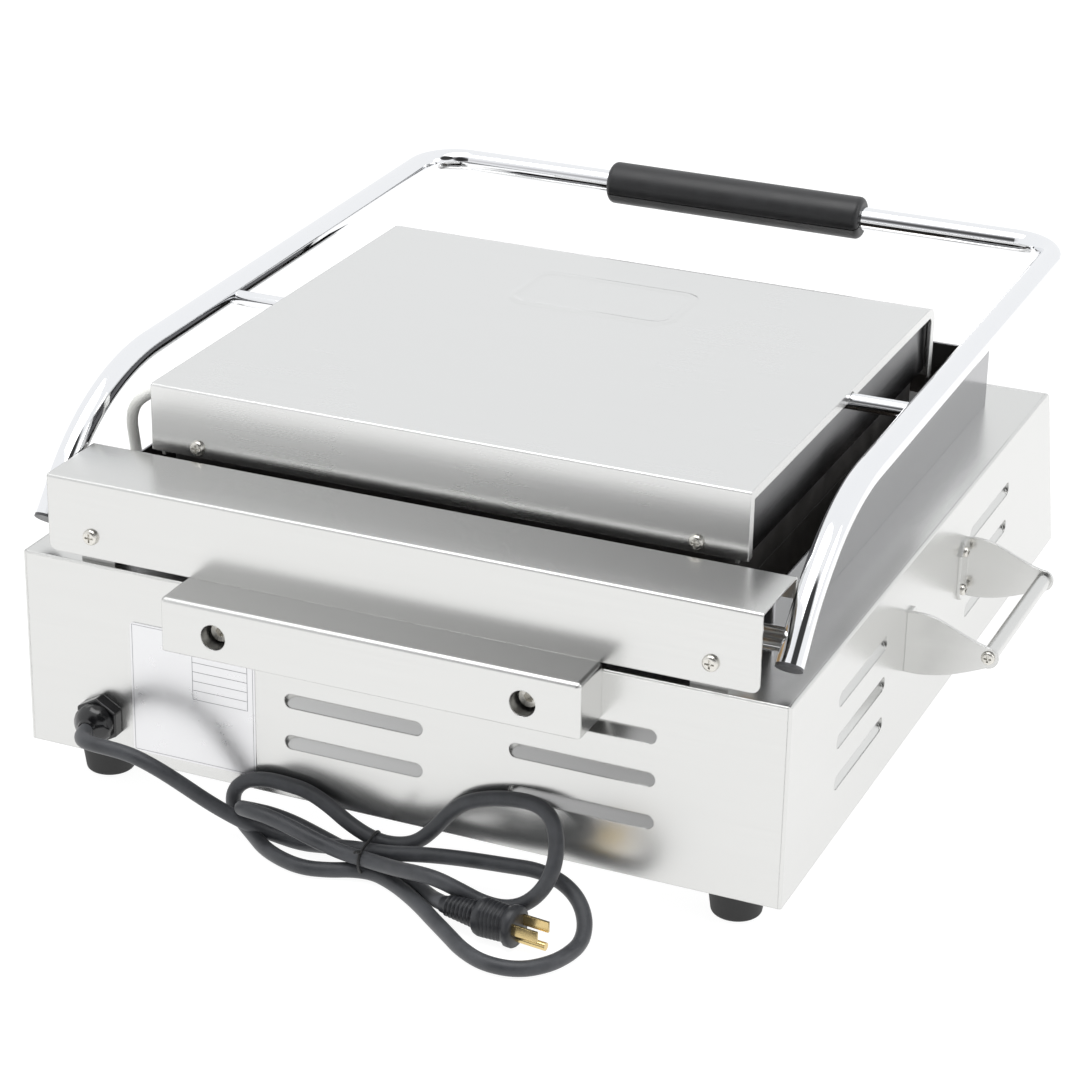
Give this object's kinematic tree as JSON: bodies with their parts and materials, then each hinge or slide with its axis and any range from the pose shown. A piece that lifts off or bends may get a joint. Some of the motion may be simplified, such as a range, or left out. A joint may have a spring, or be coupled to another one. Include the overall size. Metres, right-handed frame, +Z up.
{
  "type": "panini press",
  "caption": "Countertop contact grill: sheet steel housing on rubber feet, hinged lid with grooved plates, chrome arm with a black grip, side carrying handles and a mains lead.",
  "frame": {"origin": "middle of the footprint of the object without its mains lead, on the surface the feet stand on", "axes": "+X the user's right, -Y the front with the controls, +Y the rear with the mains lead, +Z up"},
  "size_m": [0.5924, 0.6585, 0.2555],
  "materials": {
    "black_plastic": "moulded, fine texture",
    "brass": "bright",
    "bronze": "sintered bronze",
    "chrome": "polished",
    "conduit": "braided glass sleeve",
    "cord": "matt jacket",
    "fibre": "fibre board",
    "iron": "seasoned",
    "label": "satin foil",
    "lamp": "clear tinted",
    "plated": "zinc plated",
    "rocker": "moulded",
    "rubber": "matt",
    "stainless": "brushed",
    "stainless_inner": "mill",
    "steel_dark": "oxidised",
    "tie": "vinyl coated wire",
    "white_plastic": "moulded"
  },
  "bodies": {
    "base": {"side_panel_left": "stainless", "side_panel_right": "stainless", "deck_panel": "stainless", "rear_panel": "stainless", "front_panel": "stainless", "bottom_plate": "stainless_inner", "rubber_feet": "rubber", "rating_plate": "label", "spring_box": "stainless", "tension_screws": "plated", "tension_collars": "stainless_inner", "hinge_cover": "stainless", "hinge_brackets": "stainless_inner", "hinge_bushings": "bronze", "counter_springs": "steel_dark", "lower_plate": "iron", "lower_heaters": "steel_dark", "lower_insulation": "fibre", "heat_shield_pan": "stainless_inner", "splash_guard": "stainless", "cover_screws": "plated", "conduit_lower": "conduit", "conduit_gland_deck": "plated", "side_handle_brackets": "stainless", "side_handle_bars": "stainless", "side_handle_screws": "plated", "thermostat_body": "steel_dark", "switch_body": "black_plastic", "indicator_lamp": "lamp", "tray_rails": "stainless_inner", "terminal_block": "white_plastic", "cord_gland": "black_plastic", "cord_lead": "cord", "cord_loop": "cord", "plug_lead": "cord", "cord_hank": "cord", "cord_tie": "tie", "plug_body": "black_plastic", "plug_pins": "brass", "wiring_loom": "cord"},
    "arm": {"handle_tube": "chrome", "hinge_shaft": "chrome", "pivot_rod": "chrome", "arm_end_plugs": "black_plastic", "spring_collars": "plated", "grip_shells": "black_plastic"},
    "lid": {"upper_plate": "iron", "upper_heaters": "steel_dark", "upper_insulation": "fibre", "lid_cover": "stainless", "lid_side_panels": "stainless", "lid_frame": "stainless_inner", "rod_bearings": "stainless_inner", "lid_screws": "plated", "conduit_upper": "conduit", "conduit_ferrule_lid": "plated"},
    "tray": {"drip_tray": "stainless"},
    "knob": {"thermostat_knob": "black_plastic", "knob_shaft": "plated"},
    "rocker": {"power_rocker": "rocker"}
  },
  "joints": [
    {"name": "arm_hinge", "type": "hinge", "parent": "base", "child": "arm", "pos_m": [0, 0.24125, 0.1755], "axis": [-1, 0, 0], "range_deg": [0, 70], "deforming": ["counter_springs", "conduit_lower"]},
    {"name": "lid_pivot", "type": "hinge", "parent": "arm", "child": "lid", "pos_m": [0, 0.02775, 0.2322], "axis": [-1, 0, 0], "range_deg": [-8, 0], "deforming": ["conduit_upper"]},
    {"name": "tray_slide", "type": "slide", "parent": "base", "child": "tray", "axis": [0, -1, 0], "range_m": [0, 0.16]},
    {"name": "knob_turn", "type": "hinge", "parent": "base", "child": "knob", "pos_m": [0.13, -0.27089, 0.101], "axis": [0, -0.9448, 0.3276], "range_deg": [0, 300]},
    {"name": "rocker_press", "type": "hinge", "parent": "base", "child": "rocker", "pos_m": [-0.13, -0.26995, 0.10067], "axis": [1, 0, 0], "range_deg": [0, 24]}
  ],
  "couplings": [
    {"joint": "lid_pivot", "follows": "arm_hinge", "ratio": -0.1}
  ]
}
